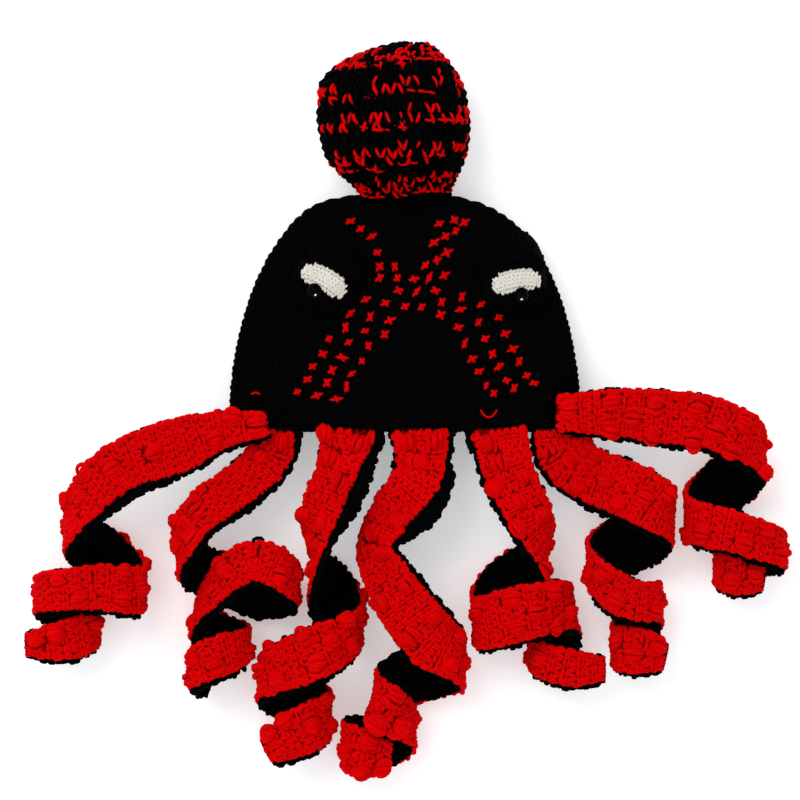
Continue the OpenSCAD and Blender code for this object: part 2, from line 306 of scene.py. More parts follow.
def slab(name, cloth, section, material, shift=lambda s, t: 0 * s * t):
    """A closed backing: section is a closed list of (share of width, height), shift moves it sideways."""
    s = np.append(np.arange(0, cloth.length, SLAB_STEP), cloth.length)
    t = np.array([p[0] for p in section])
    h = np.array([p[1] for p in section], float)
    share = t[None, :] + shift(s[:, None], t[None, :]) / cloth.span(s)[:, None]
    points = cloth.place(np.broadcast_to(s[:, None], share.shape), share, np.broadcast_to(h, share.shape))
    return closed_skin(name, points, material)


def closed_skin(name, rings, material):
    """A closed mesh through rings of equal length, with a flat cap at both ends."""
    rows, n = rings.shape[:2]
    i, k = np.meshgrid(np.arange(rows - 1), np.arange(n), indexing="ij")
    quad = np.stack([i * n + k, i * n + (k + 1) % n, (i + 1) * n + (k + 1) % n, (i + 1) * n + k], 2)
    loops = np.concatenate([quad.ravel(), np.arange(n)[::-1], (rows - 1) * n + np.arange(n)])
    sizes = np.array([4] * ((rows - 1) * n) + [n] * 2)
    piece = to_object(name, rings.reshape(-1, 3), loops, sizes, [material])
    mesh = bmesh.new()
    mesh.from_mesh(piece.data)
    bmesh.ops.recalc_face_normals(mesh, faces=mesh.faces)
    mesh.to_mesh(piece.data)
    mesh.free()
    return piece


# ---- Materials ----

def mix_colour(nodes, links, factor, a, b):
    node = nodes.new("ShaderNodeMix")
    node.data_type = "RGBA"
    links.new(factor, node.inputs["Factor"])
    for socket, value in ((node.inputs[6], a), (node.inputs[7], b)):
        if isinstance(value, tuple):
            socket.default_value = (*value, 1)
        else:
            links.new(value, socket)
    return node.outputs[2]


def maths(nodes, links, operation, a, b=None):
    node = nodes.new("ShaderNodeMath")
    node.operation = operation
    for socket, value in zip(node.inputs, (a, b)):
        if value is None:
            continue
        if isinstance(value, (int, float)):
            socket.default_value = value
        else:
            links.new(value, socket)
    return node.outputs[0]


def noise(nodes, links, scale, detail=2.0):
    where = nodes.new("ShaderNodeTexCoord")
    node = nodes.new("ShaderNodeTexNoise")
    node.inputs["Scale"].default_value = scale
    node.inputs["Detail"].default_value = detail
    links.new(where.outputs["Object"], node.inputs["Vector"])
    return node.outputs["Fac"]


YARN_PLIES = 3


def yarn(name, light, dark, specular=0.12, sheen=0.05, lay_mm=5.0):
    """Twisted yarn: plies wind along the tube's own UV map, with loose fibres and uneven dye. Its colour is
    also darker in the grooves between the plies, which is painted shade.
    """
    material = bpy.data.materials.new(name)
    material.use_nodes = True
    nodes, links = material.node_tree.nodes, material.node_tree.links
    shader = nodes["Principled BSDF"]
    shader.inputs["Roughness"].default_value = 0.9
    shader.inputs["Specular IOR Level"].default_value = specular
    shader.inputs["Sheen Weight"].default_value = sheen
    shader.inputs["Sheen Roughness"].default_value = 0.6
    shader.inputs["Sheen Tint"].default_value = (*light, 1)

    where = nodes.new("ShaderNodeUVMap")
    where.uv_map = "yarn"
    parts = nodes.new("ShaderNodeSeparateXYZ")
    links.new(where.outputs["UV"], parts.inputs["Vector"])
    turn = maths(nodes, links, "MULTIPLY", parts.outputs["X"], 1 / lay_mm)
    wind = maths(nodes, links, "MULTIPLY_ADD", parts.outputs["Y"], float(YARN_PLIES))
    links.new(turn, wind.node.inputs[2])
    wave = maths(nodes, links, "SINE", maths(nodes, links, "MULTIPLY", wind, 2 * math.pi))
    fibres = noise(nodes, links, 1400, 3)
    patches = noise(nodes, links, 38, 2)
    tone = nodes.new("ShaderNodeAttribute")
    tone.attribute_name = "tone"

    height = maths(nodes, links, "MULTIPLY_ADD", wave, 0.35)
    links.new(fibres, height.node.inputs[2])
    bump = nodes.new("ShaderNodeBump")
    bump.inputs["Strength"].default_value = 0.5
    bump.inputs["Distance"].default_value = 0.7 * MM
    links.new(height, bump.inputs["Height"])
    links.new(bump.outputs["Normal"], shader.inputs["Normal"])

    # The ply wave darkens the colour in the grooves between the plies: painted shade. The fibres, the tone
    # and the patches vary it at random.
    shade = maths(nodes, links, "MULTIPLY_ADD", wave, 0.16)
    links.new(maths(nodes, links, "MULTIPLY", fibres, 0.5), shade.node.inputs[2])
    shade = maths(nodes, links, "ADD", shade, maths(nodes, links, "MULTIPLY", tone.outputs["Fac"], 0.22))
    shade = maths(nodes, links, "ADD", shade, maths(nodes, links, "MULTIPLY", patches, 0.5))
    factor = nodes.new("ShaderNodeClamp")
    links.new(shade, factor.inputs["Value"])
    links.new(mix_colour(nodes, links, factor.outputs[0], dark, light), shader.inputs["Base Color"])
    return material


def backing(name, light, dark):
    """The fabric seen between the stitches, coloured darker than the yarn on it: painted shade in the hollows
    between the stitches.
    """
    material = bpy.data.materials.new(name)
    material.use_nodes = True
    nodes, links = material.node_tree.nodes, material.node_tree.links
    shader = nodes["Principled BSDF"]
    shader.inputs["Roughness"].default_value = 0.95
    shader.inputs["Specular IOR Level"].default_value = 0.02
    grain = noise(nodes, links, 420, 3)
    bump = nodes.new("ShaderNodeBump")
    bump.inputs["Strength"].default_value = 0.6
    bump.inputs["Distance"].default_value = 1.2 * MM
    links.new(grain, bump.inputs["Height"])
    links.new(bump.outputs["Normal"], shader.inputs["Normal"])
    spread = nodes.new("ShaderNodeMapRange")
    spread.inputs["From Min"].default_value = 0.38
    spread.inputs["From Max"].default_value = 0.6
    links.new(grain, spread.inputs["Value"])
    links.new(mix_colour(nodes, links, spread.outputs[0], dark, light), shader.inputs["Base Color"])
    return material


def polished(name, light, dark):
    """The glossy black plastic of the safety eyes."""
    material = bpy.data.materials.new(name)
    material.use_nodes = True
    nodes, links = material.node_tree.nodes, material.node_tree.links
    shader = nodes["Principled BSDF"]
    shader.inputs["Specular IOR Level"].default_value = 0.02
    rub = nodes.new("ShaderNodeMapRange")
    rub.inputs["To Min"].default_value = 0.08
    rub.inputs["To Max"].default_value = 0.2
    links.new(noise(nodes, links, 300), rub.inputs["Value"])
    links.new(rub.outputs[0], shader.inputs["Roughness"])
    colour = mix_colour(nodes, links, noise(nodes, links, 120), dark, light)
    links.new(colour, shader.inputs["Base Color"])
    return material


RED = yarn("red_yarn", (0.76, 0.0, 0.001), (0.42, 0.0, 0.0), specular=0.03, sheen=0.0)
BLACK = yarn("black_yarn", (0.0018, 0.0016, 0.002), (0.0006, 0.0006, 0.0007), specular=0.01, sheen=0.0)
WHITE = yarn("white_yarn", (0.82, 0.79, 0.71), (0.54, 0.5, 0.44), lay_mm=3.0)
# Each backing is darker than its yarn: painted shade in the hollows between the stitches.
RED_BACK = backing("red_backing", (0.2, 0.0, 0.0), (0.05, 0.0, 0.0))
BLACK_BACK = backing("black_backing", (0.002, 0.002, 0.0022), (0.0008, 0.0008, 0.0009))
WHITE_BACK = backing("white_backing", (0.6, 0.55, 0.5), (0.3, 0.27, 0.24))
BEAD = polished("safety_eye", (0.00012, 0.0001, 0.0001), (0.00004, 0.00004, 0.00005))


# ---- Tentacles ----

ROUTE_STEPS = 10


def fine_route(rows):
    """A smooth curve through the rows of a route, in equal steps from each row to the next."""
    rows = np.array(rows, float)
    out = []
    last = len(rows) - 1
    for i in range(last):
        a, b, c, d = rows[max(0, i - 1)], rows[i], rows[i + 1], rows[min(last, i + 2)]
        for k in range(ROUTE_STEPS):
            q = k / ROUTE_STEPS
            out.append(0.5 * (2 * b + (c - a) * q + (2 * a - 5 * b + 4 * c - d) * q * q
                              + (3 * b - a - 3 * c + d) * q ** 3))
    out.append(rows[-1])
    return np.array(out)


def strip_cloth(number):
    """The middle surface of a tentacle, with its normals on the red side."""
    rows = fine_route(ROUTES[number])
    angle = np.radians(rows[:, 2])
    middle = np.stack([rows[:, 0], rows[:, 1], CURL_FLOOR + rows[:, 3] * (1 + np.cos(angle))], 1)
    along = np.gradient(middle, axis=0)
    along[0] = ROOT_WAY.get(number, DOWN)
    along = unit(along)
    up = np.stack([np.sin(angle), 0 * angle, np.cos(angle)], 1)
    across = unit(np.cross(along, up))
    out = np.cross(across, along)
    share = np.linspace(-0.5, 0.5, 5)
    width = rows[:, 4]
    points = middle[:, None] + across[:, None] * (share[None, :, None] * width[:, None, None])
    normals = np.broadcast_to(out[:, None], points.shape).copy()
    return Cloth(points, normals, closed=False)


def wider(number, s, side):
    """How far the lining reaches past the red strip on one side, with a web beside some seams."""
    reach = DARK_REACH if DARK_SIDE[number] == side else BARE_REACH
    total = reach + WEB * np.clip(1 - s / WEB_LENGTH, 0, 1) * (side in WEB_SIDES.get(number, ()))
    for where, middle, half, extra in WIDE_LINING.get(number, []):
        if where == side:
            total += extra * np.clip(1 - ((s - middle) / half) ** 2, 0, 1)
    return total


# Width and height of one stitch, and the pitch of the knots along an edge
RED_W, RED_H, RED_PITCH = 6.2, 5.6, 5.2
LINING_W, LINING_H, LINING_PITCH = 7.0, 6.4, 4.8
# Heights over a strip's middle surface: faces of the red backing and of the black one
RED_TOP, RED_DROP, RED_BOTTOM = 2.4, 1.6, 0.55
LINING_TOP, LINING_BOTTOM = -0.7, -2.3
BOBBLE_SHARE = 0.72
BOBBLE_RISE = 6.2


def tentacle(number):
    cloth = strip_cloth(number)
    body = f"arm_{number}"

    section = [(t, RED_TOP - RED_DROP * abs(2 * t - 1) ** 4) for t in np.linspace(0.01, 0.99, 9)]
    section += [(t, RED_BOTTOM) for t in np.linspace(0.97, 0.03, 5)]
    base = slab(f"tentacle_{number}_fabric", cloth, section, RED_BACK)

    knit = Knit()
    cell = cells(cloth, RED_W, RED_H, start=1, stop=1)
    row, column = cell[:, 3].astype(int), cell[:, 4].astype(int)
    # Bobbles sit in every third row, on every second pair of stitches, with some left out.
    here = (row % 3 == 1) & ((column + 2 * (row // 3)) % 4 == 1) & (rng.random(len(cell)) < BOBBLE_SHARE)
    bobbles = cell[here]
    under = np.zeros(len(cell), bool)
    for _, t, n, i, _ in bobbles:
        under |= (abs(row - i) <= 1) & (abs(cell[:, 1] - t) * n < 0.9)
    plain, ridge = cell[(row % 2 == 0) & ~under], cell[(row % 2 == 1) & ~under]
    for side in (-1, 1):
        lay(knit, cloth, plain, RED_H, leg(side), 1.9, base=1.5)
    lay(knit, cloth, ridge, RED_H, bar(-0.25), 1.85, base=1.6)
    lay(knit, cloth, ridge, RED_H, bar(0.3, lean=-0.1), 1.85, base=1.5)
    for k in np.linspace(-1, 1, 5):
        q = np.linspace(0, 1, 7)
        swell = np.sin(math.pi * q)
        rise = swell * (BOBBLE_RISE - 2.6 * k * k) - 0.4
        path = np.stack([k * (0.25 + 0.75 * swell), 2.5 * q - 1.25, rise], 1)
        lay(knit, cloth, bobbles, RED_H, path, 2.1, base=1.2, jitter=0.13)

    # Red knots along both edges, thicker where the lining doesn't show
    bare = -DARK_SIDE[number]
    for side, inset, radius, high in ((bare, 0.6, 2.0, 3.4), (-bare, 1.2, 1.5, 3.0)):
        edge(knit, cloth, side, RED_PITCH, lambda s, k=inset: 0 * s - k, radius, low=0.4, high=high)
    stitches = knit.piece(f"tentacle_{number}_stitches", [RED])

    lining_base, lining_stitches, lining_area, lining_width = lining(number, cloth)
    for piece in (base, stitches, lining_base, lining_stitches):
        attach(piece, body)
    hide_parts(f"tentacle_{number}")
    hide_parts(f"lining_{number}")


def edge(knit, cloth, side, pitch, reach, radius, low, high):
    """Loops of yarn round one edge of a strip, leaning along it."""
    n = int((cloth.length - 4) / pitch)
    s = 2 + (np.arange(n) + 0.5) * pitch + rng.normal(0, 0.8, n)
    a = np.linspace(-1, 1, 6) * math.radians(100)
    mid, tall = (high + low) / 2, (high - low) / 2
    past = reach(s)[:, None] + rng.normal(0, 0.8, (n, 1))
    out = past - 2.2 + 2.6 * np.cos(a)[None, :]
    height = mid + (tall + rng.normal(0, 0.2, (n, 1))) * np.sin(a)[None, :]
    along = s[:, None] + 2.2 * np.sin(a)[None, :]
    width = cloth.span(s)[:, None]
    t = 0.5 + side * (0.5 + out / width)
    lines = cloth.place(along, t, height)
    edge_point = cloth.place(s, np.full(n, 0.5 + side * 0.5), np.zeros(n))
    inner_point = cloth.place(s, np.full(n, 0.5), np.zeros(n))
    ups = unit(edge_point - inner_point)
    thick = radius * (1 + rng.normal(0, 0.1, (n, 1))) * np.interp(a, [a[0], 0, a[-1]], [0.8, 1.1, 0.8])
    # The tube's side vector comes from its outward direction, so the ring never collapses
    knit.tubes(lines, thick, ups)


def lining(number, cloth):
    """The black layer under a red strip: its backing, its stitches and the knots along its edge."""
    def shift(s, t):
        reach = np.where(t > 0.5, wider(number, s, 1), wider(number, s, -1))
        return np.where(t > 0.5, 1, -1) * reach * np.abs(2 * t - 1)
    section = [(t, LINING_BOTTOM) for t in np.linspace(1, 0, 9)]
    section += [(t, LINING_TOP) for t in np.linspace(0, 1, 5)]
    base = slab(f"lining_{number}_fabric", cloth, section, BLACK_BACK, shift=shift)

    knit = Knit()
    flipped = Cloth(cloth.points, -cloth.normals, closed=False)
    cell = cells(flipped, LINING_W, LINING_H, start=1, stop=1)
    plus, minus = wider(number, cell[:, 0], 1), wider(number, cell[:, 0], -1)
    spread = 1 + (plus + minus) / flipped.span(cell[:, 0])
    lean = (plus - minus) / 2 / flipped.span(cell[:, 0])
    cell[:, 1] = 0.5 + (cell[:, 1] - 0.5) * spread + lean
    cell[:, 2] = cell[:, 2] / spread
    for side in (-1, 1):
        lay(knit, flipped, cell, LINING_H, leg(side, lift=1.9), 1.75, base=1.5)
    dark = DARK_SIDE[number]
    for side in (-1, 1):
        radius, high = (1.9, 0.6) if side == dark else (1.5, -0.6)
        edge(knit, cloth, side, LINING_PITCH, lambda s, k=side: wider(number, s, k) - 0.2, radius, -3.0, high)
    # Where the lining shows past the red, lines of yarn cover its upper face too
    s = np.arange(3, cloth.length - 3, LINING_PITCH)
    for inward in (3.0, 6.5, 10.0):
        shown = wider(number, s, dark) - inward
        keep = shown > -1.5
        if keep.any():
            q = np.linspace(-1, 1, 5)
            line_s = s[keep][:, None] + 2.6 * q
            t = 0.5 + dark * (0.5 + (shown[keep][:, None] + 0.8 * q) / cloth.span(s[keep])[:, None])
            lines = cloth.place(line_s, t, np.broadcast_to(0.9 * (1 - q * q) - 1.0, t.shape))
            knit.tubes(lines, np.full((keep.sum(), 5), 1.7), cloth.normal(s[keep], t[:, 2]))
    stitches = knit.piece(f"lining_{number}_stitches", [BLACK])
    width = cloth.spans + wider(number, cloth.s, 1) + wider(number, cloth.s, -1)
    return base, stitches, float(np.trapz(width, cloth.s)) * MM * MM, float(width.max())


# ---- Hat ----

def rise(y):
    return np.clip((y - BRIM_Y) / HAT_H, 0, 1)


def half_w(y):
    return HAT_HALF_W * (1 - rise(y) ** 2) ** (1 / 3.1)


def half_t(y):
    return HAT_T / 2 * (1 - rise(y) ** 4) ** (1 / 2.5)


def hat_top(x, y):
    share = np.clip(np.abs(x) / np.maximum(1, half_w(y)), 0, 1)
    return HAT_T / 2 + half_t(y) * (1 - share ** 2.6) ** (1 / 2.6)


def shoulder(x, y):
    """How far the hat's full left shoulder stands out from its even outline."""
    return 4.5 * np.exp(-((x + 72) / 30) ** 2 - ((y - 150) / 26) ** 2)


def grid_normals(points, closed):
    down = np.gradient(points, axis=0)
    if closed:
        across = np.roll(points, -1, axis=1) - np.roll(points, 1, axis=1)
    else:
        across = np.gradient(points, axis=1)
    return unit(np.cross(down, across))


def even_rings(points, count):
    """Each closed ring again, with its points evenly spaced."""
    out = []
    for ring in points:
        loop = np.concatenate([ring, ring[:1]])
        along = np.concatenate([[0], np.cumsum(np.linalg.norm(np.diff(loop, axis=0), axis=1))])
        if along[-1] < 1e-6:
            out.append(np.repeat(ring[:1], count, axis=0))
            continue
        spot = np.linspace(0, along[-1], count, endpoint=False)
        out.append(np.stack([np.interp(spot, along, loop[:, k]) for k in range(3)], 1))
    return np.array(out)


def hat_cloth():
    share = 1 - (1 - np.linspace(0, 1, 60)) ** 1.5
    y = BRIM_Y + 2.5 + (HAT_H - 2.5) * np.minimum(share, 0.9985)
    a = np.radians(np.arange(0, 360, 2.5))
    c, s = np.cos(a), np.sin(a)
    e = 2 / 2.6
    w, h = half_w(y)[:, None], half_t(y)[:, None]
    x = w * np.sign(c) * np.abs(c) ** e
    z = HAT_T / 2 + h * np.sign(s) * np.abs(s) ** e * np.where(s < 0, 1.1, 1)
    z = np.maximum(z, 2.2)
    y = np.broadcast_to(y[:, None], x.shape)
    full = shoulder(x, y)
    points = np.stack([x - 0.2 * full, y + 0.8 * full, z], 2)
    # The stitches stand out from this surface up to the hat's outline
    points = even_rings(points, 120)
    points[:, :, 0] -= grid_normals(points, closed=True)[:, :, 0] * 2
    return Cloth(points, grid_normals(points, closed=True), closed=True)


HAT_STITCH_W, HAT_STITCH_H = 6.0, 5.2
HAT_WALL = 4
BRIM_PITCH, ROPE_PITCH = 5, 5.1


def hat():
    cloth = hat_cloth()
    outer = cloth.points
    inner = outer - cloth.normals * HAT_WALL
    inner[:, :, 1] = np.minimum(inner[:, :, 1], outer[:, :, 1])
    rings = np.concatenate([inner[-3::-1], outer])
    base = closed_skin("hat_fabric", rings, BLACK_BACK)

    knit = Knit()
    cell = cells(cloth, HAT_STITCH_W, HAT_STITCH_H, start=4, stop=2)
    for side in (-1, 1):
        lay(knit, cloth, cell, HAT_STITCH_H, leg(side, rise=-1, lift=2.0), 1.55, base=0.2)
    rope(knit)
    stitches = knit.piece("hat_stitches", [BLACK])

    knit = Knit()
    n = int(cloth.spans[0] / BRIM_PITCH)
    t = (np.arange(n) + 0.5) / n
    a = np.linspace(-1, 1, 6) * math.radians(100)
    s = 2 - 2.6 * np.cos(a)[None, :] + 0 * t[:, None]
    around = t[:, None] + 2 * np.sin(a)[None, :] / cloth.spans[0]
    lines = cloth.place(np.maximum(s, 0), around, -2 + 2.6 * np.sin(a) + 0 * t[:, None])
    lines[:, :, 1] = BRIM_Y + s + 2.2
    knit.tubes(lines, np.full(lines.shape[:2], 1.8), np.broadcast_to([0.0, -1.0, 0.0], (n, 3)))
    brim = knit.piece("brim_stitches", [BLACK])

    for piece in (base, stitches, brim):
        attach(piece, "hat")
    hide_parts("hat_shell")
    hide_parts("brim_band")


def rope(knit):
    """Slanted loops all round the hat's outline, like a rope."""
    y = CROWN_Y - HAT_H * np.linspace(0, 1, 400) ** 2.4
    right = np.stack([half_w(y), y], 1)
    line = np.concatenate([right[::-1], right[1:] * [-1, 1]])
    along = np.concatenate([[0], np.cumsum(np.linalg.norm(np.diff(line, axis=0), axis=1))])
    n = int(along[-1] / ROPE_PITCH)
    spot = (np.arange(n) + 0.5) * along[-1] / n
    place = np.stack([np.interp(spot, along, line[:, 0]), np.interp(spot, along, line[:, 1])], 1)
    ahead = np.stack([np.interp(spot + 1, along, line[:, 0]), np.interp(spot + 1, along, line[:, 1])], 1)
    way = unit(ahead - place)
    outward = np.stack([way[:, 1], -way[:, 0]], 1)
    a = np.linspace(-1, 1, 7) * math.radians(95)
    thin = np.clip(half_t(place[:, 1]) / (HAT_T / 2), 0.35, 1)[:, None]
    full = 0.7 * shoulder(place[:, :1], place[:, 1:])
    out = -8.4 + 5 * np.cos(a)[None, :] + rng.normal(0, 0.45, (n, 1)) + full
    flat = place[:, None] + outward[:, None] * out[..., None] + way[:, None] * (3 * np.sin(a))[None, :, None]
    z = HAT_T / 2 + 8 * thin * np.sin(a)[None, :]
    lines = np.concatenate([flat, z[..., None]], axis=2)
    thick = 2.3 * (1 + rng.normal(0, 0.07, (n, 1))) * np.interp(a, [a[0], 0, a[-1]], [0.8, 1.05, 0.8])
    knit.tubes(lines, thick, np.concatenate([outward, np.zeros((n, 1))], axis=1))


# ---- Freckles ----

# First freckle of each row of three in the band that rises from each side, and the step along a row
LEFT_ROWS = [(-85, 13), (-77, 23), (-73, 33), (-65, 43), (-60, 55), (-47, 64), (-43, 75), (-31, 86)]
RIGHT_ROWS = [(70, 12), (64, 18), (58, 29), (53, 39), (47, 51), (42, 64), (28, 74), (13, 80)]
LEFT_STEP, RIGHT_STEP = (15.5, -2.8), (16, 4)
UPPER_RIGHT = [(9, 92), (24, 93), (7, 102), (19, 103), (31, 105), (25, 117), (16, 113), (23, 131), (33, 123),
               (32, 136), (40, 140), (27, 146), (39, 149), (47, 147)]
UPPER_LEFT = [(-43, 148), (-35, 142), (-26, 136), (-22, 123), (-20, 112), (-8, 112), (-20, 103), (-6, 103),
              (-5, 93)]
FRECKLE_R, LOOSE_END_R = 1.45, 0.8
# Two loose ends of red yarn: middle, half width and sag
LOOSE_ENDS = {"left": ((-118, 11), 3.5, -1.5), "right": ((66, -1), 6.5, 6)}


def freckles(name, node, spots, lean, loose):
    """Cross stitches: a long leaning bar and a short one over it."""
    knit = Knit()
    spots = np.array(spots, float)
    n = len(spots)
    for turn, size, lift in ((lean, 4.8, 0.0), (lean + 85, 3.2, 0.9)):
        a = np.radians(turn + rng.normal(0, 14, n))
        half = size * (1 + rng.normal(0, 0.14, n))
        q = np.linspace(-1, 1, 5)
        x = spots[:, 0:1] + (np.cos(a) * half)[:, None] * q
        y = spots[:, 1:2] + (np.sin(a) * half)[:, None] * q
        z = hat_top(x, y) + 2.2 + lift - 1.4 * q ** 4
        lines = np.stack([x, y, z], 2)
        thick = FRECKLE_R * np.interp(q, [-1, -0.6, 0.6, 1], [0.6, 1, 1, 0.6]) + 0 * x
        knit.tubes(lines, thick, np.tile([0, 0, 1.0], (n, 1)))
    (x0, y0), half, sag = loose
    q = np.linspace(-1, 1, 12)
    x, y = x0 + half * q, y0 - sag * (1 - q * q)
    line = np.stack([x, y, hat_top(x, y) + 2.6], 1)
    knit.tubes(line[None], np.full((1, 12), LOOSE_END_R), np.array([[0, 0, 1.0]]))
    piece = knit.piece(name, [RED])
    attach(piece, "hat")
    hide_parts(node)


def all_freckles():
    def band(rows, step):
        return [(x + c * step[0], y + c * step[1]) for x, y in rows for c in range(3)]
    freckles("freckle_stitches_left", "freckles_left", band(LEFT_ROWS, LEFT_STEP) + UPPER_RIGHT, 33,
             LOOSE_ENDS["left"])
    freckles("freckle_stitches_right", "freckles_right", band(RIGHT_ROWS, RIGHT_STEP) + UPPER_LEFT, 38,
             LOOSE_ENDS["right"])


# ---- Stuffed head ----

def head_cloth():
    s = np.concatenate([[0], np.cumsum(np.linalg.norm(np.diff(HEAD, axis=0), axis=1))])
    spot = np.linspace(0, s[-1], 48)
    rows = np.stack([np.interp(spot, s, HEAD[:, k]) for k in range(5)], 1)
    for _ in range(2):
        rows[1:-1] = (rows[:-2] + 2 * rows[1:-1] + rows[2:]) / 4
    a = np.radians(np.arange(0, 360, 5))
    c, sn, e = np.cos(a), np.sin(a), 2 / 2.2
    x = rows[:, 1:2] + rows[:, 3:4] * np.sign(c) * np.abs(c) ** e
    z = rows[:, 2:3] + rows[:, 4:5] * np.sign(sn) * np.abs(sn) ** e
    points = np.stack([x, np.broadcast_to(rows[:, 0:1], x.shape), z], 2)
    # The stitches stand out from this surface up to the head's outline
    points = even_rings(points, 72)
    inset = grid_normals(points, closed=True) * 2.8
    inset[:, :, 1] *= points[:, :, 1] > 240
    points = points - inset
    points[0, :, 1] -= 2.5
    return Cloth(points, grid_normals(points, closed=True), closed=True)


HEAD_W, HEAD_H = 8.6, 7.2


def head():
    cloth = head_cloth()
    points = cloth.points - cloth.normals * 0.8
    base = closed_skin("head_fabric", points, BLACK_BACK)
    knit = Knit()
    cell = cells(cloth, HEAD_W, HEAD_H, start=1.5, stop=1)
    middle = cloth.place(cell[:, 0], cell[:, 1], np.zeros(len(cell)))
    level = middle[:, 1] - STRIPE_CLIMB * (middle[:, 0] + 10) + rng.normal(0, 1.0, len(cell))
    gap = np.array([level - stripe for stripe in STRIPES])
    near = gap[np.abs(gap).argmin(axis=0), np.arange(len(cell))]
    upper = (near > -2.5) & (near < STRIPE_HALF)
    lower = (near <= -2.5) & (near > -STRIPE_HALF)
    for side in (-1, 1):
        red = upper & (rng.random(len(cell)) < 0.62) | lower & (rng.random(len(cell)) < 0.34)
        for colour in (0, 1):
            chosen = cell[red == bool(colour)]
            lay(knit, cloth, chosen, HEAD_H, leg(side, rise=-1, lift=3.0), 1.75 - 0.45 * colour,
                base=0.2 + 0.5 * colour, which=colour, jitter=0.09)
    strands = cell[lower & (rng.random(len(cell)) < 0.75)]
    lay(knit, cloth, strands, HEAD_H, bar(-0.2, lift=2.6, lean=0.1), 1.1, base=1.3, which=1, jitter=0.12)
    stitches = knit.piece("head_stitches", [BLACK, RED])
    for piece in (base, stitches):
        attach(piece, "head")
    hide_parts("head_cover", "head_stuffing")


# ---- Eyes ----

def turned(eye, u, v):
    (x, y), slant = eye[0], math.radians(eye[1])
    return x + u * math.cos(slant) - v * math.sin(slant), y + u * math.sin(slant) + v * math.cos(slant)


def mound_height(eye, u, v):
    """Height of an eye's mound over the hat: a dome that reaches further above the eye than below it."""
    q = (u / MOUND_RX) ** 2 + (v / np.where(v > 0, eye[3], MOUND_RY)) ** 2
    return MOUND_H * np.maximum(0, 1 - q) ** 0.6


def eye_point(eye, u, v, h):
    x, y = turned(eye, u, v)
    return np.stack([x, y, hat_top(x, y) + mound_height(eye, u, v) + h], -1)


def eye_ups(eye, u, v):
    zero = np.zeros_like(u)
    du = eye_point(eye, u + 0.5, v, zero) - eye_point(eye, u - 0.5, v, zero)
    dv = eye_point(eye, u, v + 0.5, zero) - eye_point(eye, u, v - 0.5, zero)
    return unit(np.cross(du, dv))


def eye_dome(name, eye, reach_u, low, high, lift, material, sag=0.0):
    """A closed pad on the mound, between two heights of v."""
    rings, n = 9, 40
    a = 2 * math.pi * np.arange(n) / n
    mid, half = (low + high) / 2, (high - low) / 2
    rows = []
    for k in np.concatenate([np.linspace(0.03, 1, rings), np.linspace(1, 0.03, rings)]):
        under = len(rows) < rings
        u = reach_u * k * np.sign(np.cos(a)) * np.abs(np.cos(a)) ** 0.85
        v = mid + half * k * np.sign(np.sin(a)) * np.abs(np.sin(a)) ** 0.85 - sag * (u / reach_u) ** 2
        h = np.full(n, -0.8) if under else 0.3 + lift * (1 - k ** 2.6) ** 0.6 + 0 * u
        rows.append(eye_point(eye, u, v, h))
    return closed_skin(name, np.array(rows)[:, ::-1], material)


def rows_of_stitches(knit, eye, rows, pitch, radius, sag=0.0):
    """Rows of small slanted legs along u. rows holds (v, half length, height) for each row."""
    for index, (v0, half, h) in enumerate(rows):
        n = max(2, int(2 * half / pitch))
        u0 = (np.arange(n) + 0.5 * (1 + index % 2 * 0.4)) * 2 * half / n - half
        for side in (-1, 1):
            q = np.linspace(0, 1, 5)
            u = u0[:, None] + side * pitch * (0.05 + 0.42 * q) + rng.normal(0, 0.15, (n, 1))
            v = v0 + pitch * (1.2 * q - 0.6) - sag * (u / 20) ** 2 + rng.normal(0, 0.15, (n, 1))
            height = h + 1.2 * np.sin(math.pi * q) - 0.3 + rng.normal(0, 0.1, (n, 1))
            lines = eye_point(eye, u, v, height)
            thick = radius * np.interp(q, [0, 0.3, 0.7, 1], [0.75, 1, 1, 0.75]) + 0 * u
            knit.tubes(lines, thick, eye_ups(eye, u0, np.full(n, float(v0))))


def pad_row(v, share, reach, lift):
    """One row of stitches on a rounded pad: its v, half length and height."""
    return v, reach * (1 - share ** 2.6) ** 0.4, 0.4 + lift * (1 - share ** 2.6) ** 0.6


MOUND_PITCH, LID_PITCH, WHITE_PITCH = 5.4, 5.0, 3.1
EYE_YARN_R, WHITE_YARN_R = 1.55, 1.15
WHITE_HALF_L, WHITE_HALF_W, WHITE_SAG = 19.0, 8.6, 3.2
WHITE_LIFT = 4.5
WHITE_ROWS = (-7.0, -4.2, -1.4, 1.4, 4.2, 7.0)
# Each eyelid: its lowest and highest v, half length, lift, sag, and its step towards the outer corner
LIDS = {"upper": (9.6, 24, 22, 6.0, WHITE_SAG, 0), "lower": (-19, -9.4, 14, 3.0, 1.0, 3)}


